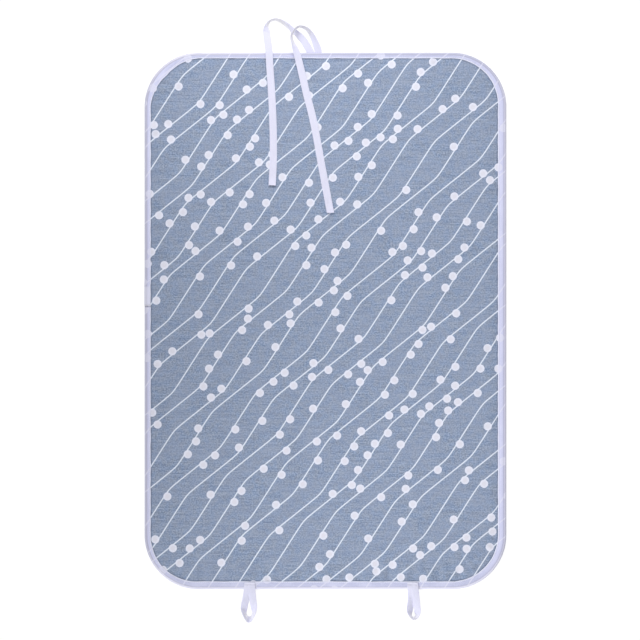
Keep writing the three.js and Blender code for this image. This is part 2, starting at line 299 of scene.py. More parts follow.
def printed_line(graph, along, across, number):
    """Masks of the dots, of their cores and of the stroke of one numbered line."""
    phase_jitter, wander, start = graph.random(number, *LINE_SEED)
    phase = graph.times(phase_jitter, BEND_JITTER)
    phase = graph.plus(phase, graph.times(number, BEND_STEP))
    shift = graph.times(graph.minus(wander, 0.5), LINE_WANDER)
    middle = graph.plus(graph.times(number, LINE_SPACING), shift)
    off = graph.minus(across, middle)
    stroke = graph.math("ABSOLUTE", graph.minus(off, bend(graph, along, phase)))
    line = graph.ramp(stroke, LINE_WIDTH / 2 + INK_EDGE, LINE_WIDTH / 2 - INK_EDGE)

    turns = graph.plus(graph.math("DIVIDE", along, DOT_CELL), start)
    cell = graph.math("FLOOR", turns)
    place, present, side = graph.random(cell, number, DOT_SEED)
    centre = graph.plus(graph.times(place, 1 - 2 * DOT_MARGIN), DOT_MARGIN)
    ahead = graph.times(graph.minus(graph.math("FRACT", turns), centre), DOT_CELL)
    dot_bend = bend(graph, graph.minus(along, ahead), phase)
    lean = graph.times(graph.math("SIGN", graph.minus(side, 0.5)), DOT_OFFSET)
    beside = graph.minus(graph.minus(off, dot_bend), lean)
    squares = [graph.math("POWER", part, 2.0) for part in (ahead, beside)]
    distance = graph.math("SQRT", graph.plus(*squares))
    shown = graph.math("LESS_THAN", present, DOT_SHARE)
    dot = graph.times(graph.ramp(distance, DOT_RADIUS + INK_EDGE, DOT_RADIUS - INK_EDGE), shown)
    core = graph.times(graph.ramp(distance, *DOT_CORE), shown)
    return dot, core, line


def make_print():
    """A node group that gives the print's masks at a place on the pad."""
    tree = bpy.data.node_groups.new("print", "ShaderNodeTree")
    tree.interface.new_socket("Place", in_out="INPUT", socket_type="NodeSocketVector")
    for mask in PRINT_MASKS:
        tree.interface.new_socket(mask, in_out="OUTPUT", socket_type="NodeSocketFloat")
    graph = Graph(tree)
    place = graph.add("NodeGroupInput").outputs["Place"]
    turned = {"Vector": place, "Angle": -PRINT_SLANT}
    slanted = graph.add("ShaderNodeVectorRotate", turned, rotation_type="Z_AXIS").outputs[0]
    along, across, _ = graph.parts(slanted)
    nearest = graph.math("ROUND", graph.math("DIVIDE", across, LINE_SPACING))
    masks = [0.0] * len(PRINT_MASKS)
    for step in (-1, 0, 1):
        marks = printed_line(graph, along, across, graph.plus(nearest, step))
        masks = [graph.math("MAXIMUM", mask, mark) for mask, mark in zip(masks, marks)]
    graph.add("NodeGroupOutput", dict(zip(PRINT_MASKS, masks)))
    return tree


PRINT = make_print()


def print_masks(graph, place):
    """The print's masks in a material."""
    node = graph.add("ShaderNodeGroup", {"Place": place}, node_tree=PRINT)
    return [node.outputs[mask] for mask in PRINT_MASKS]


# Looks of the materials
SPECULAR_LEVEL = 0.25
WEAVE_PITCH = 0.0008
COATED_PITCH = 0.0009
TWILL_PITCH = 0.0011


def weave(graph, place, pitch):
    """Height of a plain weave of a given thread pitch, from -0.5 to 0.5."""
    x, y, _ = graph.parts(place)
    warp = graph.math("SINE", graph.times(x, 2 * math.pi / pitch))
    weft = graph.math("SINE", graph.times(y, 2 * math.pi / pitch))
    return graph.times(graph.times(warp, weft), 0.5)


def paint_cover(graph):
    """Blue cotton of unevenly dyed yarn, with pale and dark slubs along the weft, and the white print.
    Painted shade gives it soft blotches and a darker band beside the binding.
    """
    place = graph.place()
    slub = graph.noise(place, (27, 480, 1), 1.0)
    speck = graph.noise(place, (400, 430, 1), 2.0)
    dye = graph.noise(place, (98, 92, 1), 4.0)
    painted_shade_blotches = graph.noise(place, (22, 30, 1), 3.0)
    shade = graph.plus(graph.ramp(slub, 0.3, 0.7, 0.0, 0.33), graph.ramp(speck, 0.3, 0.7, -0.03, 0.7))
    cloth = graph.mix(shade, srgb(72, 90, 121), srgb(178, 192, 216))
    threads = weave(graph, place, WEAVE_PITCH)
    cloth = graph.mix(graph.ramp(threads, -0.5, 0.5, 0.0, 0.22), cloth, srgb(182, 192, 210))
    yarn = graph.mix(graph.ramp(dye, 0.36, 0.64), srgb(126, 152, 194), srgb(153, 161, 178))
    cloth = graph.mix(0.3, cloth, yarn)
    # Soft lighter blotches: painted shade that stands in for the cloth's gentle undulations
    cloth = graph.mix(graph.ramp(painted_shade_blotches, 0.3, 0.7, 0.0, 0.4), cloth, srgb(152, 163, 188))
    beside = graph.add("ShaderNodeAttribute", attribute_name="beside_binding").outputs["Fac"]
    cloth = graph.mix(graph.ramp(beside, SEAM_SHADE_REACH, 0.0, 0.0, 0.55), cloth, srgb(100, 108, 134))
    dots, cores, lines = print_masks(graph, place)
    ink_wear = graph.ramp(speck, 0.2, 0.8, 0.84, 1.0)
    inked = graph.mix(graph.times(lines, ink_wear), cloth, srgb(231, 238, 252))
    inked = graph.mix(graph.times(dots, ink_wear), inked, srgb(235, 237, 252))
    inked = graph.mix(cores, inked, srgb(226, 226, 239))
    return inked, graph.plus(threads, graph.times(slub, 1.5))


# Where the binding's tone and its painted light and shade change: places on the pad, and distances across
# and along its strip
SIDE_STRETCH = (0.24, 0.28)
SIDE_TO_SIDE = (-0.2, 0.2)
ALONG_TOP = (-0.25, 0.05)
TOP_STRETCH = (0.38, 0.43)
BOTTOM_STRETCH = (-0.37, -0.43)
UPPER_FACE = (0.004, 0.006)
CREASE_BLUR = 0.0014
CREASE_SHADE_REACH = 0.0015
HEM_BAND = (0.0091, 0.0101)
THIN_BAND = (0.0005, 0.004)
LAP_BLUR = 0.004
LAP_END_BLUR = 0.003


def paint_binding(graph):
    """Thin white tape that shows the print and is brighter at its lap, with painted light and shade: greyer,
    and lighter or darker by side, where it rolls over the edge, a shaded crease and a shadow beyond the
    lap's end.
    """
    place = graph.place()
    x, y, z = graph.parts(place)
    strip = graph.strip()
    across, along, _ = graph.parts(strip)
    threads = graph.noise(strip, (2200, 420, 1), 2.0)
    patches = graph.noise(strip, (90, 28, 1), 2.0)
    flat = graph.mix(graph.ramp(threads, 0.3, 0.7), srgb(188, 191, 220), srgb(204, 207, 236))
    flat = graph.mix(graph.ramp(patches, 0.45, 0.7, 0.0, 0.6), flat, srgb(216, 218, 243))
    # Painted light: the flat face lighter and bluer along the long sides
    on_sides = graph.ramp(graph.math("ABSOLUTE", x), *SIDE_STRETCH, 0.0, 0.5)
    flat = graph.mix(on_sides, flat, srgb(220, 222, 251))
    # The roll over the edge, painted greyer and lighter or darker by side as light falls: greyest at the
    # left and the top right, lightest along the bottom
    side = graph.mix(graph.ramp(x, *SIDE_TO_SIDE), srgb(194, 194, 214), srgb(204, 204, 223))
    upper = graph.mix(graph.ramp(x, *ALONG_TOP), srgb(214, 213, 229), srgb(192, 193, 215))
    rolled_with_painted_light = graph.mix(graph.ramp(y, *TOP_STRETCH), side, upper)
    rolled_with_painted_light = graph.mix(graph.ramp(y, *BOTTOM_STRETCH), rolled_with_painted_light, srgb(230, 230, 248))
    past_crease = graph.ramp(across, CREASE_INSET + CREASE_BLUR, CREASE_INSET - CREASE_BLUR)
    base = graph.mix(past_crease, flat, rolled_with_painted_light)
    from_crease = graph.math("ABSOLUTE", graph.minus(across, CREASE_INSET))
    base = graph.mix(graph.ramp(from_crease, CREASE_SHADE_REACH, 0.0, 0.0, 0.35), base, srgb(146, 144, 174))
    base = graph.mix(graph.ramp(across, *HEM_BAND, 0.0, 0.7), base, srgb(238, 241, 254))
    dots, _, lines = print_masks(graph, place)
    thin = graph.times(graph.ramp(across, *THIN_BAND, 0.2, 0.6), graph.ramp(z, *UPPER_FACE))
    through = graph.times(graph.math("MAXIMUM", dots, lines), thin)
    base = graph.mix(through, base, srgb(228, 228, 245))
    lapped = graph.ramp(along, LAP_START, LAP_START + LAP_BLUR, 0.0, 0.45)
    base = graph.mix(lapped, base, srgb(236, 236, 250))
    lap_end = graph.ramp(along, LAP_STOP - LAP_END_BLUR, LAP_STOP, 0.0, 0.7)
    base = graph.mix(lap_end, base, srgb(244, 244, 252))
    # Painted shadow on the strip just beyond the lap's end
    lap_end_shadow = graph.ramp(along, -LAP_END_Y + LAP_BLUR, -LAP_END_Y, 0.0, 0.55)
    return graph.mix(lap_end_shadow, base, srgb(120, 120, 142)), threads


def paint_tape(graph):
    """White herringbone tape, with painted light that makes it paler where it stands on edge."""
    strip = graph.strip()
    across, along, _ = graph.parts(strip)
    fold = graph.math("PINGPONG", across, TAPE_WIDTH / 4)
    twill = graph.math("SINE", graph.times(graph.plus(fold, along), 2 * math.pi / TWILL_PITCH))
    threads = graph.noise(strip, (1500, 300, 1), 2.0)
    base = graph.mix(graph.ramp(twill, -1.0, 1.0), srgb(227, 227, 254), srgb(238, 238, 255))
    base = graph.mix(graph.ramp(threads, 0.35, 0.75, 0.0, 0.3), base, srgb(223, 223, 252))
    # Painted light: paler where the tape stands on edge, in place of light that comes through it
    normal = graph.add("ShaderNodeTexCoord").outputs["Normal"]
    level = graph.math("ABSOLUTE", graph.parts(normal)[2])
    base = graph.mix(graph.ramp(level, 0.8, 0.35), base, srgb(247, 246, 255))
    return base, graph.plus(twill, threads)


def paint_thread(graph):
    """White twisted sewing thread."""
    ply = graph.noise(graph.place(), (2500, 2500, 2500), 1.0)
    return graph.mix(ply, srgb(226, 226, 251), srgb(240, 240, 255)), ply


def paint_backing(graph):
    """Plain grey woven cloth with a little slub."""
    place = graph.place()
    slub = graph.noise(place, (500, 45, 1), 3.0)
    colour = graph.mix(graph.ramp(slub, 0.3, 0.7), srgb(164, 168, 177), srgb(190, 194, 202))
    return colour, graph.plus(weave(graph, place, WEAVE_PITCH), slub)


def paint_felt(graph):
    """Needled felt: short fibres in every direction, with small pits."""
    fibres = graph.noise(graph.place(), (900, 700, 900), 6.0)
    return graph.mix(fibres, srgb(206, 202, 192), srgb(240, 238, 232)), fibres


def paint_barrier(graph):
    """Cloth with a silver coating that shows the weave under it."""
    place = graph.place()
    crease = graph.noise(place, (25, 25, 1), 5.0)
    colour = graph.mix(crease, srgb(176, 179, 184), srgb(214, 216, 220))
    return colour, graph.plus(weave(graph, place, COATED_PITCH), crease)


def make_material(name, paint, depth, values):
    """A material with a paint's colour and relief, and with values that are the same all over."""
    material = bpy.data.materials.new(name)
    material.use_nodes = True
    graph = Graph(material.node_tree)
    shader = material.node_tree.nodes["Principled BSDF"]
    for socket, value in {"Specular IOR Level": SPECULAR_LEVEL, **values}.items():
        shader.inputs[socket].default_value = value
    colour, height = paint(graph)
    relief = graph.add("ShaderNodeBump", {"Height": height, "Distance": depth})
    graph.feed(shader.inputs["Base Color"], colour)
    graph.feed(shader.inputs["Normal"], relief.outputs[0])
    return material


# Materials: their paint, the depth of their relief in metres, and their other values
LIGHT_THROUGH = {"Subsurface Weight": 0.15, "Subsurface Radius": (1, 1, 1), "Subsurface Scale": 0.001}
LOOKS = {
    "printed_cotton": (paint_cover, 0.00012, {"Roughness": 0.85, "Sheen Weight": 0.1}),
    "felt": (paint_felt, 0.0004, {"Roughness": 0.95, "Sheen Weight": 0.3}),
    "aluminised_cloth": (paint_barrier, 0.00015, {"Roughness": 0.35, "Metallic": 0.85}),
    "backing_cloth": (paint_backing, 0.00012, {"Roughness": 0.9}),
    "binding_tape": (paint_binding, 0.0001, {"Roughness": 0.7, "Sheen Weight": 0.1}),
    "white_tape": (paint_tape, 0.0001, {"Roughness": 0.8, "Sheen Weight": 0.15, **LIGHT_THROUGH}),
    "white_thread": (paint_thread, 0.00008, {"Roughness": 0.55, "Sheen Weight": 0.2}),
}
MATERIALS = {name: make_material(name, *look) for name, look in LOOKS.items()}


# Meshes


def link(name, data):
    """A new object in the scene."""
    made = bpy.data.objects.new(name, data)
    bpy.context.scene.collection.objects.link(made)
    return made


def add_object(name, vertices, faces, slot):
    """A smooth mesh object with the finish of a material slot."""
    mesh = bpy.data.meshes.new(name)
    mesh.from_pydata(vertices.tolist(), [], faces)
    mesh.update()
    mesh.materials.append(MATERIALS[slot])
    mesh.shade_smooth()
    made = link(name, mesh)
    return made


def coordinates(obj):
    """An object's vertices as an array."""
    values = np.zeros(3 * len(obj.data.vertices))
    obj.data.vertices.foreach_get("co", values)
    return values.reshape(-1, 3)


def place_vertices(obj, values):
    """Moves an object's vertices to the rows of an array."""
    obj.data.vertices.foreach_set("co", values.ravel())
    obj.data.update()


def unit(vectors):
    """Rows scaled to length 1."""
    return vectors / np.linalg.norm(vectors, axis=-1, keepdims=True)


def tube_faces(rows, columns, first=0):
    """Faces that join rows of points into a closed tube, with both ends filled."""
    row, column = np.meshgrid(np.arange(rows - 1), np.arange(columns), indexing="ij")
    a = first + row * columns + column
    b = first + row * columns + (column + 1) % columns
    faces = np.stack([a, b, b + columns, a + columns], axis=-1).reshape(-1, 4).tolist()
    last = first + (rows - 1) * columns
    faces.append(list(range(first + columns - 1, first - 1, -1)))
    faces.append(list(range(last, last + columns)))
    return faces


def add_strip(name, sections, across, along, slot):
    """A closed solid through sections of equal point count, with its places across and along as a UV map."""
    strip = add_object(name, sections.reshape(-1, 3), tube_faces(*sections.shape[:2]), slot)
    flat = np.stack(np.meshgrid(across, along), axis=-1).reshape(-1, 2)
    corners = np.zeros(len(strip.data.loops), int)
    strip.data.loops.foreach_get("vertex_index", corners)
    layer = strip.data.uv_layers.new(name="tape")
    layer.uv.foreach_set("vector", flat[corners].astype(np.float32).ravel())
    return strip


THREAD_RADIUS = 0.00024
THREAD_SIDES = 6
THREAD_TIP = 0.6


def add_threads(name, lines, flatness=1.0):
    """Threads along lines of equal point count, each a closed tube that thins at its ends."""
    count, points, _ = lines.shape
    heading = unit(np.gradient(lines, axis=1))
    side = unit(np.cross(heading, (0.0, 0.0, 1.0)))
    up = np.cross(side, heading)
    angles = np.arange(THREAD_SIDES) * 2 * math.pi / THREAD_SIDES
    thin = np.ones(points)
    thin[[0, -1]] = THREAD_TIP
    ring = np.cos(angles)[:, None] * side[:, :, None, :]
    ring += flatness * np.sin(angles)[:, None] * up[:, :, None, :]
    vertices = lines[:, :, None, :] + THREAD_RADIUS * thin[:, None, None] * ring
    faces = []
    for number in range(count):
        faces += tube_faces(points, THREAD_SIDES, number * points * THREAD_SIDES)
    return add_object(name, vertices.reshape(-1, 3), faces, "white_thread")


# Reach of the binding at eighths of the outline, from the right side anticlockwise: side, corner and so on
REACH_EIGHTHS = (0.0141, 0.0115, 0.0098, 0.0156, 0.0103, 0.0105, 0.0135, 0.0143)
SEAM_FROM_REACH = BINDING_WIDTH - SEAM_INSET
TINY = 1e-9


def ring_lengths(inset):
    """Lengths of the stretches of the ring at an inset, from the middle of the left edge down and round."""
    arc = (CORNER_RADIUS - inset) * math.pi / 2
    return np.array([CORE_Y, arc, 2 * CORE_X, arc, 2 * CORE_Y, arc, 2 * CORE_X, arc, CORE_Y])


def stations(along, inset):
    """Centre points and outward directions at distances along the ring at an inset."""
    breaks = np.concatenate([[0], np.cumsum(ring_lengths(inset))])
    wrapped = np.mod(along, breaks[-1])
    x = CORE_X * np.interp(wrapped, breaks, [-1, -1, -1, 1, 1, 1, 1, -1, -1, -1])
    y = CORE_Y * np.interp(wrapped, breaks, [0, -1, -1, -1, -1, 1, 1, 1, 1, 0])
    angle = math.pi + math.pi / 2 * np.interp(wrapped, breaks, [0, 0, 1, 1, 2, 2, 3, 3, 4, 4])
    return np.stack([x, y], axis=-1), np.stack([np.cos(angle), np.sin(angle)], axis=-1)


def inset_of(x, y):
    """How far points lie in from the outer edge."""
    past_x = np.abs(x) - CORE_X
    past_y = np.abs(y) - CORE_Y
    outside = np.hypot(np.maximum(past_x, 0), np.maximum(past_y, 0))
    return CORNER_RADIUS - outside - np.minimum(np.maximum(past_x, past_y), 0)


def binding_reach(x, y):
    """How far in the binding reaches on the face. Sewn by eye, it varies round the pad."""
    past_x = np.maximum(np.abs(x) - CORE_X, 0)
    past_y = np.maximum(np.abs(y) - CORE_Y, 0)
    turn = np.arctan2(past_y * np.sign(y), past_x * np.sign(x) + TINY)
    by_long_side = np.abs(x) / HALF_WIDTH > np.abs(y) / HALF_LENGTH
    on_side = np.where(by_long_side, np.where(x < 0, math.pi, 0.0), np.sign(y) * math.pi / 2)
    angle = np.where((past_x > 0) & (past_y > 0), turn, on_side)
    eighths = np.mod(angle / (math.pi / 4), 8)
    return np.interp(eighths, np.arange(9), [*REACH_EIGHTHS, REACH_EIGHTHS[0]])


def face_inset(x, y):
    """How far in points of the face lie, counted so that the binding ends at its plain width all round."""
    return inset_of(x, y) - binding_reach(x, y) + BINDING_WIDTH


def swell(inset):
    """How far the pad has swelled: 0 under the binding, 1 in the open middle."""
    return np.sin(np.clip((inset - BINDING_WIDTH) / CROWN_RUN, 0, 1) * math.pi / 2)


FINE_STEP = 0.0035
PLAIN_STEP = 0.008
FIRST_RING = 0.0065
WELD_REACH = 1e-6


def add_sheet(name, slot, step):
    """A flat sheet over the pad: rings from the edge in to the corner centres, and a grid inside them."""
    inner_rings = np.linspace(FIRST_RING, CORNER_RADIUS, round((CORNER_RADIUS - FIRST_RING) / step))
    lengths = ring_lengths(0)
    counts = np.maximum(1, np.round(lengths / step).astype(int))
    counts[4] = counts[0] + counts[8]
    starts = np.concatenate([[0], np.cumsum(lengths)])
    along = np.concatenate(
        [start + length * np.arange(count) / count for start, length, count in zip(starts, lengths, counts)]
    )
    centre, outward = stations(along, 0)
    rings = [centre + (CORNER_RADIUS - inset) * outward for inset in (LAYER_EDGE_INSET, *inner_rings)]
    xs = np.linspace(-CORE_X, CORE_X, counts[2] + 1)
    ys = np.concatenate([np.linspace(-CORE_Y, 0, counts[0] + 1), np.linspace(0, CORE_Y, counts[8] + 1)[1:]])
    grid = np.stack(np.meshgrid(xs, ys), axis=-1)
    flat = np.concatenate([*rings, grid.reshape(-1, 2)])
    columns = len(along)
    faces = tube_faces(len(rings), columns)[:-2]
    first = len(rings) * columns
    row, column = np.meshgrid(np.arange(len(ys) - 1), np.arange(len(xs) - 1), indexing="ij")
    corner = (first + row * len(xs) + column).ravel()
    faces += np.stack([corner, corner + 1, corner + 1 + len(xs), corner + len(xs)], axis=-1).tolist()
    made = add_object(name, np.pad(flat, ((0, 0), (0, 1))), faces, slot)
    welded = bmesh.new()
    welded.from_mesh(made.data)
    bmesh.ops.remove_doubles(welded, verts=welded.verts, dist=WELD_REACH)
    welded.to_mesh(made.data)
    welded.free()
    made.data.shade_smooth()
    return made


def lift_sheet(sheet, edge, middle, inset=inset_of):
    """Gives a sheet its height at the bound edge and in the middle."""
    values = coordinates(sheet)
    share = swell(inset(values[:, 0], values[:, 1]))
    values[:, 2] = edge + (middle - edge) * share
    place_vertices(sheet, values)
    return values


def thicken(sheet, thickness, offset):
    """Gives a sheet its thickness, below it for an offset of -1 and above it for 1."""
    solid = sheet.modifiers.new("thickness", "SOLIDIFY")
    solid.thickness = thickness
    solid.offset = offset


def waves(along, seed, shortest, longest, count):
    """Smooth random waves round the pad's outline, of about unit height."""
    draws = np.random.default_rng(seed)
    turns = draws.integers(round(EDGE_LENGTH / longest), round(EDGE_LENGTH / shortest), count)
    phases = draws.uniform(0, 2 * math.pi, count)
    sums = np.sin(2 * math.pi * np.outer(along / EDGE_LENGTH, turns) + phases).sum(axis=1)
    return sums / math.sqrt(count / 2)


# Cloth layers, with waves given as their seed, their shortest and longest length, and their count
PUCKER_WAVES = (1, 0.018, 0.05, 14)
PUCKER_REACH = 0.045
MIDDLE_HOLD = 0.5
PUCKER_SLACK = -0.03
PUCKER_START = 0.0006
PUCKER_EASINGS = 2
GATHER_SEED = 23
GATHER_SPACING = (0.008, 0.026)
GATHER_DEPTH = (0.0002, 0.0010)
GATHER_START = 0.004
GATHER_WIDTH = 0.0038
GATHER_REACH = (0.005, 0.022)
GATHER_LEAN = 0.5
RUN_STEP = 0.0005
PUCKER_RISE = 0.0010
PUCKER_FALL = 0.0014
SIMULATED_FRAMES = 12


def add_group(obj, name, weights):
    """A vertex group with one weight for each vertex."""
    group = obj.vertex_groups.new(name=name)
    for index, weight in enumerate(weights):
        group.add([index], float(weight), "REPLACE")
    return group.name


def edge_run(x, y):
    """How far along the pad's outline its nearest point to each of many points lies."""
    along = np.arange(0, EDGE_LENGTH, RUN_STEP)
    centre, outward = stations(along, 0)
    tree = KDTree(len(along))
    for number, place in enumerate(centre + CORNER_RADIUS * outward):
        tree.insert((*place, 0), number)
    tree.balance()
    return np.array([along[tree.find((*place, 0))[1]] for place in zip(x, y)])


def gathers(run, inset):
    """Depth of the narrow valleys that the stitches draw in the cloth, in from the seam."""
    draws = np.random.default_rng(GATHER_SEED)
    count = round(EDGE_LENGTH / np.mean(GATHER_SPACING))
    starts = np.cumsum(draws.uniform(*GATHER_SPACING, count))
    past_binding = np.clip(inset - BINDING_WIDTH, 0, None)
    growth = 1 - np.exp(-((past_binding / GATHER_START) ** 2))
    depth = np.zeros(len(run))
    for start in starts:
        reach = draws.uniform(*GATHER_REACH)
        aside = (run - start - draws.uniform(-GATHER_LEAN, GATHER_LEAN) * past_binding) / GATHER_WIDTH
        depth += draws.uniform(*GATHER_DEPTH) * np.exp(-(aside**2) - past_binding / reach)
    return depth * growth


def even_out(mesh, values):
    """Values at a mesh's vertices, evened out with those of their neighbours."""
    ends = np.zeros(2 * len(mesh.edges), int)
    mesh.edges.foreach_get("vertices", ends)
    first, second = ends.reshape(-1, 2).T
    neighbours = np.bincount(ends, minlength=len(values))
    for _ in range(PUCKER_EASINGS):
        sums = np.bincount(first, values[second], len(values))
        sums += np.bincount(second, values[first], len(values))
        values = (values + sums / neighbours) / 2
    return values


def swell_cover(sheet, rest, run, inset):
    """Simulates the cover: sewn down under the binding, with spare cloth drawn up along the seam."""
    near_seam = np.clip(1 - (inset - BINDING_WIDTH) / PUCKER_REACH, 0, 1)
    held = np.where(inset < BINDING_WIDTH, 1.0, MIDDLE_HOLD * (1 - near_seam))
    taut = np.where(inset < BINDING_WIDTH, 1, 1 - near_seam)
    uneven = rest.copy()
    uneven[:, 2] += PUCKER_START * near_seam * (inset > BINDING_WIDTH) * waves(run, *PUCKER_WAVES)
    place_vertices(sheet, uneven)
    cloth = sheet.modifiers.new("cloth", "CLOTH")
    settings = cloth.settings
    settings.quality = 4
    settings.mass = 0.004
    settings.tension_stiffness = 20
    settings.compression_stiffness = 20
    settings.shear_stiffness = 8
    settings.bending_stiffness = 5
    settings.use_pressure = True
    settings.uniform_pressure_force = 3
    settings.vertex_group_mass = add_group(sheet, "held", held)
    settings.pin_stiffness = 1.0
    settings.vertex_group_shrink = add_group(sheet, "taut", taut)
    settings.shrink_min = PUCKER_SLACK
    settings.effector_weights.gravity = 0
    scene = bpy.context.scene
    for number in range(1, SIMULATED_FRAMES + 1):
        scene.frame_set(number)
    settled = sheet.evaluated_get(bpy.context.evaluated_depsgraph_get())
    moved = coordinates(settled)
    sheet.modifiers.remove(cloth)
    scene.frame_set(1)
    return moved


LINE_STRIDE = 4
CLEAR_FROM = 0.6


def clear_of(points, lines):
    """How far points are clear of the tapes that lie on them: 0 under a tape, 1 more than its width away."""
    plan = points[:, None, :2]
    gaps = [np.linalg.norm(plan - line[None, ::LINE_STRIDE, :2], axis=-1).min(axis=1) for line in lines]
    share = np.clip(np.min(gaps, axis=0) / TAPE_WIDTH - CLEAR_FROM, 0, 1)
    return share * share * (3 - 2 * share)


def add_cover(tie_lines):
    """The printed face, puckered along its seam by simulation, and pressed smooth under the ties."""
    low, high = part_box("printed_cover")
    cover = add_sheet("cover_cloth", "printed_cotton", FINE_STEP)
    rest = lift_sheet(cover, low.z + COVER_THICKNESS, high.z, face_inset)
    x, y, _ = rest.T
    run = edge_run(x, y)
    inset = face_inset(x, y)
    move = np.zeros(len(rest))
    move = even_out(cover.data, swell_cover(cover, rest, run, inset)[:, 2] - rest[:, 2])
    move -= gathers(run, inset)
    cap = np.where(move > 0, PUCKER_RISE, PUCKER_FALL)
    settled = rest.copy()
    settled[:, 2] += cap * np.tanh(move / cap) * clear_of(rest, tie_lines)
    place_vertices(cover, settled)
    beside = cover.data.attributes.new("beside_binding", "FLOAT", "POINT")
    beside.data.foreach_set("value", (inset - BINDING_WIDTH).astype(np.float32))
    thicken(cover, COVER_THICKNESS, -1)
    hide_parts("printed_cover")
    return cover


def add_lower_cloth(name, node, slot, thickness):
    """A cloth below the felt, as the sheet of its lower face."""
    low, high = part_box(node)
    sheet = add_sheet(name, slot, PLAIN_STEP)
    lift_sheet(sheet, high.z - thickness, low.z)
    thicken(sheet, thickness, 1)
    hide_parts(node)
    return sheet


def add_felt(cover):
    """The padding: an upper face that fills the cover, and a lower one, which meet round the edge."""
    low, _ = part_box("felt_pad")
    felt = add_sheet("felt_batt", "felt", FINE_STEP)
    edge_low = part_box("heat_barrier")[1].z + LAYER_GAP
    upper = coordinates(cover)
    upper[:, 2] -= COVER_THICKNESS + LAYER_GAP
    place_vertices(felt, upper)
    share = swell(inset_of(upper[:, 0], upper[:, 1]))
    lower = upper.copy()
    lower[:, 2] = edge_low + (low.z - edge_low) * share
    shell = bmesh.new()
    shell.from_mesh(felt.data)
    made = bmesh.ops.duplicate(shell, geom=shell.verts[:] + shell.edges[:] + shell.faces[:])["geom"]
    for vertex, place in zip((item for item in made if isinstance(item, bmesh.types.BMVert)), lower):
        vertex.co = place
    bmesh.ops.reverse_faces(shell, faces=[item for item in made if isinstance(item, bmesh.types.BMFace)])
    bmesh.ops.bridge_loops(shell, edges=[edge for edge in shell.edges if edge.is_boundary])
    shell.to_mesh(felt.data)
    shell.free()
    felt.data.shade_smooth()
    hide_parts("felt_pad")
    return felt


# Binding and seam
BINDING_STEP = 0.004
HEM_WAVES = (2, 0.012, 0.03, 9)
HEM_PUCKER = 0.00009
REACH_WAVES = (3, 0.02, 0.08, 7)
REACH_WOBBLE = 0.00015
HEM_RISE = 0.0002
SEAM_DIP = 0.00025
CREASE_DIP = 0.0004
CREASE_HALF = 0.0006
LAP_SPREAD = 0.6
ROLL_STEPS = 8
STITCH_PITCH = 0.0032
STITCH_LENGTH = 0.0026
STITCH_POINTS = 7
STITCH_ARCH = 0.00022
STITCH_DROP = 0.0012
STITCH_ROUND = 2.5

# The binding's face from hem to crease: inset, rise, and how far each point moves with the reach
FOLD_FACE = [
    (0.0110, -0.00025, 1),
    (0.0106, HEM_RISE, 1),
    (0.0098, HEM_RISE, 1),
    (SEAM_INSET, -SEAM_DIP, 1),
    (0.0082, 0.0001, 0.9),
    (0.0062, 0.0001, 0.3),
    (CREASE_INSET + CREASE_HALF, 0.0, 0),
    (CREASE_INSET, -CREASE_DIP, 0),
]


def fold_profile(distance):
    """The binding's fold, a distance inside its outer face: insets, heights and moves with the reach."""
    half = (EDGE_TOP - EDGE_BOTTOM) / 2 - distance
    middle = (EDGE_TOP + EDGE_BOTTOM) / 2
    flat, rise, moves = np.array(FOLD_FACE).T
    angles = np.linspace(0, math.pi, 2 * ROLL_STEPS + 1)
    roll_reach = CREASE_INSET - CREASE_HALF
    roll_inset = roll_reach - (roll_reach - distance) * np.sin(angles)
    roll_height = middle + half * np.cos(angles)
    insets = np.concatenate([flat, roll_inset, flat[::-1]])
    heights = np.concatenate([middle + half + rise, roll_height, middle - half - rise[::-1]])
    follow = np.concatenate([moves, np.zeros(len(angles) + len(flat))])
    return insets, heights, follow


def add_binding():
    """One strip folded over the edge, whose end laps over its start on the left edge."""
    along = np.linspace(-LAP_END_Y - LAP_LENGTH, LAP_STOP, round(EDGE_LENGTH / BINDING_STEP))
    centre, outward = stations(along, 0)
    edge = centre + CORNER_RADIUS * outward
    lift = LAP_LIFT * np.interp(along, [LAP_START - LAP_RAMP, LAP_START], [0, 1])
    pucker = HEM_PUCKER * waves(along, *HEM_WAVES)
    wobble = REACH_WOBBLE * waves(along, *REACH_WAVES) + binding_reach(*edge.T) - BINDING_WIDTH
    outer = fold_profile(0.0)
    inner = fold_profile(BINDING_THICKNESS)
    insets, heights, follow = (np.concatenate([a, b[::-1]]) for a, b in zip(outer, inner))
    side = np.sign(heights - (EDGE_TOP + EDGE_BOTTOM) / 2)
    loose = np.clip(insets / BINDING_WIDTH, 0, 1)
    inset = insets + wobble[:, None] * follow - lift[:, None] * (insets < CREASE_INSET) * LAP_SPREAD
    height = heights + side * (pucker[:, None] * loose + lift[:, None])
    plan = centre[:, None, :] + (CORNER_RADIUS - inset)[:, :, None] * outward[:, None, :]
    sections = np.concatenate([plan, height[:, :, None]], axis=-1)
    binding = add_strip("binding_strip", sections, insets, along, "binding_tape")
    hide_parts("edge_binding")
    return binding


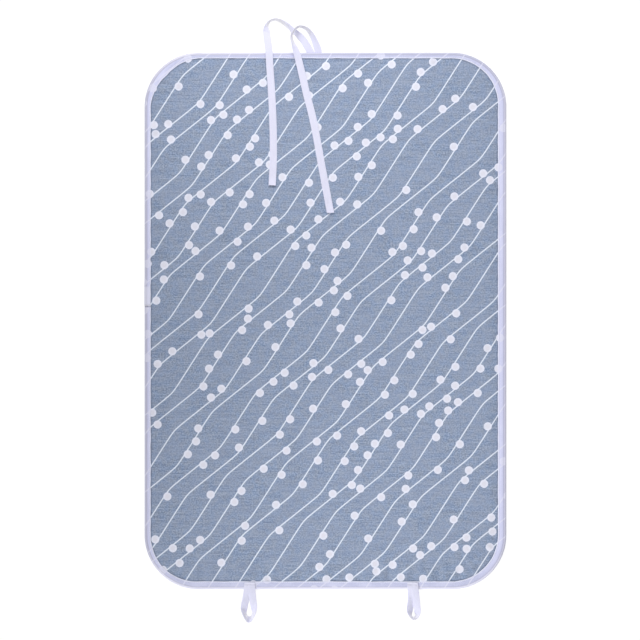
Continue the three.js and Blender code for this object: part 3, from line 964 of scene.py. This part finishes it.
def add_seam(name, node, side):
    """The stitches of one face of the binding: side 1 is the front and -1 the back."""
    total = ring_lengths(SEAM_INSET).sum()
    count = round(total / STITCH_PITCH)
    middles = np.arange(count) * total / count
    shares = np.linspace(-0.5, 0.5, STITCH_POINTS)
    along = middles[:, None] + STITCH_LENGTH * shares
    centre, outward = stations(along, SEAM_INSET)
    inset = SEAM_INSET
    if side > 0:
        edge = centre + CORNER_RADIUS * outward
        inset = binding_reach(edge[..., 0], edge[..., 1])[..., None] - SEAM_FROM_REACH
    plan = centre + (CORNER_RADIUS - inset) * outward
    face = EDGE_TOP if side > 0 else EDGE_BOTTOM
    lapped = (middles > total - LAP_END_Y - LAP_LENGTH) & (middles < total - LAP_END_Y)
    arch = STITCH_ARCH - STITCH_DROP * np.abs(shares) ** STITCH_ROUND
    height = face + side * (arch - SEAM_DIP + LAP_LIFT * lapped[:, None])
    lines = np.concatenate([plan, height[:, :, None]], axis=-1)
    seam = add_threads(name, lines)
    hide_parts(node)
    return seam


# Tapes, whose hem at the end is a share of the route's last stretch
TAPE_STEP = 0.0015
TAPE_CURL = 0.00035
COARSE_STEPS = 20
END_LIFT = 0.0022
END_RUN = 0.018
END_HEM = 0.004
RIGHT_CUT = math.radians(10.5)

# Shares of a tape's tilt that show, at distances along it from its root
LEFT_EASE = ((0.022, 0.1), (0.048, 1.0), (0.100, 1.0), (0.109, 0.86), (0.119, 0.32))
RIGHT_EASE = ((0.102, 1.0), (0.114, 0.65), (0.140, 0.5))
ALL_SHOWN = ((0.0, 1.0),)
RIGHT_LOOP_EASE = (
    (0.022, 1.0), (0.034, 0.5), (0.044, 0.55), (0.054, 1.0), (0.066, 1.0), (0.076, 0.5), (0.098, 1.0)
)


def catmull_rom(points, places):
    """Points on the centripetal curve through a list of points, at places counted in points."""
    ends = np.vstack([2 * points[0] - points[1], points, 2 * points[-1] - points[-2]])
    first = np.minimum(places.astype(int), len(points) - 2)
    share = (places - first)[:, None]
    p0, p1, p2, p3 = (ends[first + step] for step in range(4))
    d0, d1, d2 = (np.sqrt(np.linalg.norm(b - a, axis=1))[:, None] for a, b in ((p0, p1), (p1, p2), (p2, p3)))
    leave = ((p1 - p0) / d0 - (p2 - p0) / (d0 + d1) + (p2 - p1) / d1) * d1
    arrive = ((p2 - p1) / d1 - (p3 - p1) / (d1 + d2) + (p3 - p2) / d2) * d1
    square = 3 * (p2 - p1) - 2 * leave - arrive
    cube = 2 * (p1 - p2) + leave + arrive
    return p1 + share * leave + share**2 * square + share**3 * cube


def route_points(route, x, y):
    """A route's centre points in the frame, from its own origin."""
    flat = np.array(route)
    lean = np.radians(flat[:, 2])
    rise = TAPE_WIDTH / 2 * np.sin(lean) + TAPE_THICKNESS / 2 * np.cos(lean)
    return np.stack([flat[:, 0] + x, flat[:, 1] + y, flat[:, 3] + rise], axis=-1), lean


def run_along(line):
    """Distances of a line's points from its first one, along it."""
    return np.concatenate([[0], np.cumsum(np.linalg.norm(np.diff(line, axis=0), axis=1))])


def tape_section():
    """A tape's section as distances across and up, with round selvedges and edges that curl down."""
    half = TAPE_WIDTH / 2
    across = np.array([-1, -0.97, -0.9, -0.6, -0.2, 0.2, 0.6, 0.9, 0.97, 1]) * half
    thick = np.array([0.25, 0.8, 1, 0.9, 0.9, 0.9, 0.9, 1, 0.8, 0.25]) * TAPE_THICKNESS / 2
    curl = -TAPE_CURL * (across / half) ** 2
    upper = np.stack([across, curl + thick], axis=-1)
    lower = np.stack([across, curl - thick], axis=-1)
    return np.concatenate([upper[::-1], lower])


def add_tape(name, route, x, y, end_lift=0.0, cut=0.0, ease=ALL_SHOWN):
    """A tape along a route, and its centre line. A cut end may slant, and lift off what it lies on."""
    points, lean = route_points(route, x, y)
    coarse = catmull_rom(points, np.linspace(0, len(points) - 1, COARSE_STEPS * len(points)))
    places = np.linspace(0, len(points) - 1, round(run_along(coarse)[-1] / TAPE_STEP))
    places = np.insert(places, -1, places[-1] - END_HEM)
    line = catmull_rom(points, places)
    near_end = np.clip(1 - np.linalg.norm(line - line[-1], axis=1) / END_RUN, 0, 1)
    line[:, 2] += end_lift * near_end**2
    run = run_along(line)
    heading = unit(np.gradient(line, axis=0))
    level = unit(np.stack([heading[:, 1], -heading[:, 0], np.zeros(len(line))], axis=-1))
    shown = np.interp(run, *zip(*ease))
    tilt = (shown * np.interp(places, np.arange(len(points)), lean))[:, None]
    right = level * np.cos(tilt) - np.cross(heading, level) * np.sin(tilt)
    up = np.cross(right, heading)
    section = tape_section()
    sections = line[:, None, :] + section[:, :1] * right[:, None, :] + section[:, 1:] * up[:, None, :]
    slant = np.outer(near_end, section[:, 0]) * math.tan(cut)
    sections -= slant[:, :, None] * heading[:, None, :]
    return add_strip(name, sections, section[:, 0], run, "white_tape"), line


def add_tie(name, route, ease, cut=0.0):
    """A tie along its route, and its centre line."""
    tie, line = add_tape(name, route, TIE_X, HALF_LENGTH, END_LIFT, cut, ease)
    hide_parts(f"{name}_root", f"{name}_tail")
    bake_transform(tie)
    return line


def add_hanging_loop(name, route, x, ease=ALL_SHOWN):
    """A hanging loop of tape along its route, whose ends lie under their tack."""
    loop, line = add_tape(name + "_tape", route, x, -HALF_LENGTH, ease=ease)
    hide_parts(name)
    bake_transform(loop)


TACK_PASSES = 26
PASS_POINTS = 3
TACK_FLATNESS = 0.3
TACK_STEP = (0.3, 0.42)
TACK_REACH = 0.0024
TACK_RISES = (0.0007, 0.0017)


def add_tack(name, node, reach=0.0, rises=(0.0, 0.0)):
    """A bar tack: close zigzag stitches over its box, and past it over the ends of the tape's two legs."""
    low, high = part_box(node)
    shares = np.linspace(0, 1, 2 * TACK_PASSES + 1)
    x = low.x + THREAD_RADIUS + (high.x - low.x - 2 * THREAD_RADIUS) * shares
    over_tape = np.arange(len(shares)) % 2 == 0
    sway = np.where(over_tape, low.y - reach, high.y)
    rise = np.interp(shares, TACK_STEP, rises)
    z = (low.z + high.z) / 2 + rise * over_tape
    places = np.linspace(0, len(shares) - 1, PASS_POINTS * len(shares))
    line = np.stack([np.interp(places, np.arange(len(shares)), part) for part in (x, sway, z)], axis=-1)
    tack = add_threads(name, line[None], TACK_FLATNESS)
    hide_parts(node)
    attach(tack, "pad")


# Camera and light
PIXELS = 640
METRES_PER_PIXEL = 0.0016575
VIEW_CENTRE = (-0.0091, 0.00166)
CAMERA_HEIGHT = 4.0
FACE_HEIGHT = 0.007
SENSOR_MM = 36.0
CLIP_END = 100
WHITE = (1, 1, 1, 1)
SKY_STRENGTH = 0.57
FLOOR_COLOUR = (0.9, 0.9, 0.9, 1)
FLOOR_BOUNCE = 0.4
FLOOR_SHADE = (0.18, 0.18, 0.18, 1)
FLOOR_GLOW = 0.9
FLOOR_REACH = 20.0
FLOOR_DROP = 0.0004

# Softboxes: place, target, width and depth, spread in degrees, and power in watts
SOFTBOXES = {
    "top_softbox": ((-0.10, 0.885, 0.65), (0, 0.21, 0), (0.71, 0.30), 100, 1.85),
    "bottom_softbox": ((-0.56, -0.84, 0.73), (0.51, -0.16, 0), (0.64, 0.64), 66, 1.58),
}


def add_camera():
    """A long lens that looks straight down on the pad."""
    camera = bpy.data.cameras.new("camera")
    camera.sensor_width = SENSOR_MM
    camera.lens = SENSOR_MM * (CAMERA_HEIGHT - FACE_HEIGHT) / (PIXELS * METRES_PER_PIXEL)
    camera.clip_end = CLIP_END
    holder = link("camera", camera)
    holder.location = (*VIEW_CENTRE, CAMERA_HEIGHT)
    bpy.context.scene.camera = holder


def add_softbox(name, place, target, size, spread, power):
    """A soft lamp of a width and depth, with a grid that narrows its beam."""
    lamp = bpy.data.lights.new(name, "AREA")
    lamp.shape = "RECTANGLE"
    lamp.size, lamp.size_y = size
    lamp.spread = math.radians(spread)
    lamp.energy = power
    holder = link(name, lamp)
    holder.location = place
    holder.rotation_euler = (Vector(place) - Vector(target)).to_track_quat("Z", "Y").to_euler()
    holder.visible_camera = False


def add_light():
    """An even sky, white to the camera, and two softboxes at the left, one beyond each end of the pad."""
    world = bpy.data.worlds.new("sky")
    world.use_nodes = True
    bpy.context.scene.world = world
    graph = Graph(world.node_tree)
    background = world.node_tree.nodes["Background"]
    background.inputs["Color"].default_value = WHITE
    graph.feed(background.inputs["Strength"], graph.ramp(graph.seen(), 0, 1, SKY_STRENGTH, 1.0))
    for name, values in SOFTBOXES.items():
        add_softbox(name, *values)


def add_floor():
    """A white floor that keeps a pale shadow of the pad."""
    material = bpy.data.materials.new("floor")
    material.use_nodes = True
    graph = Graph(material.node_tree)
    material.node_tree.nodes.remove(material.node_tree.nodes["Principled BSDF"])
    looks = []
    for colour, strength in ((FLOOR_COLOUR, FLOOR_BOUNCE), (FLOOR_SHADE, FLOOR_GLOW)):
        shaded = graph.add("ShaderNodeBsdfDiffuse", {"Color": colour}).outputs[0]
        glow = graph.add("ShaderNodeEmission", {"Color": WHITE, "Strength": strength}).outputs[0]
        looks.append(graph.add("ShaderNodeAddShader", {0: shaded, 1: glow}).outputs[0])
    mixed = graph.add("ShaderNodeMixShader", dict(enumerate([graph.seen(), *looks]))).outputs[0]
    graph.feed(material.node_tree.nodes["Material Output"].inputs["Surface"], mixed)
    signs = ((-1, -1), (1, -1), (1, 1), (-1, 1))
    corners = [(x * FLOOR_REACH, y * FLOOR_REACH, -FLOOR_DROP) for x, y in signs]
    mesh = bpy.data.meshes.new("floor")
    mesh.from_pydata(corners, [], [(0, 1, 2, 3)])
    mesh.materials.append(material)
    link("floor", mesh)


add_camera()
add_light()
add_floor()

tie_lines = [
    add_tie("tie_left", LEFT_TIE, LEFT_EASE),
    add_tie("tie_right", RIGHT_TIE, RIGHT_EASE, RIGHT_CUT),
]
add_hanging_loop("loop_left", LEFT_LOOP, LOOP_LEFT_X)
add_hanging_loop("loop_right", RIGHT_LOOP, LOOP_RIGHT_X, RIGHT_LOOP_EASE)
add_tack("tie_stitches", "tie_tack")
add_tack("loop_left_stitches", "loop_left_tack", TACK_REACH, TACK_RISES)
add_tack("loop_right_stitches", "loop_right_tack", TACK_REACH, TACK_RISES)

cover = add_cover(tie_lines)
back = add_lower_cloth("back_cloth", "back_cover", "backing_cloth", BACK_THICKNESS)
barrier = add_lower_cloth("barrier_cloth", "heat_barrier", "aluminised_cloth", BARRIER_THICKNESS)
felt = add_felt(cover)
binding = add_binding()
needle = add_seam("needle_stitches", "needle_thread", 1)
bobbin = add_seam("bobbin_stitches", "bobbin_thread", -1)
for piece in (cover, back, barrier, felt, binding, needle, bobbin):
    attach(piece, "pad")

bpy.context.scene.view_settings.view_transform = "Standard"
